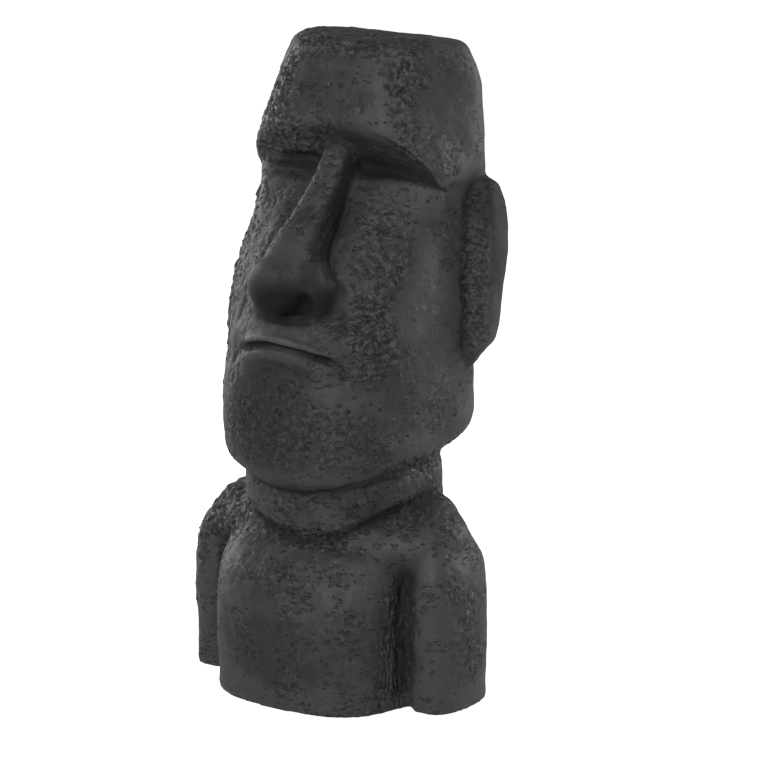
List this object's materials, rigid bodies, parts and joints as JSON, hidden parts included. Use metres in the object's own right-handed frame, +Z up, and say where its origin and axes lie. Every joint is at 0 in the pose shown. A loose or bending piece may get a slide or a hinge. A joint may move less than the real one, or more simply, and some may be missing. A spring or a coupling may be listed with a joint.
{
  "type": "moai statue",
  "caption": "Upright garden figure in the moai style: a long head with a heavy brow, long nose and slab ears on a short torso, with a flat underside.",
  "frame": {"origin": "centre of the statue's box, on the ground it stands on", "axes": "+Z up, -Y the way the face looks, +X the statue's left"},
  "size_m": [0.265, 0.19, 0.535],
  "materials": {
    "charcoal_cast_stone": "matt dark charcoal cast stone, hand-hewn, with small pits and short chisel marks"
  },
  "bodies": {
    "root": {"moai_statue": "charcoal_cast_stone"}
  },
  "joints": []
}
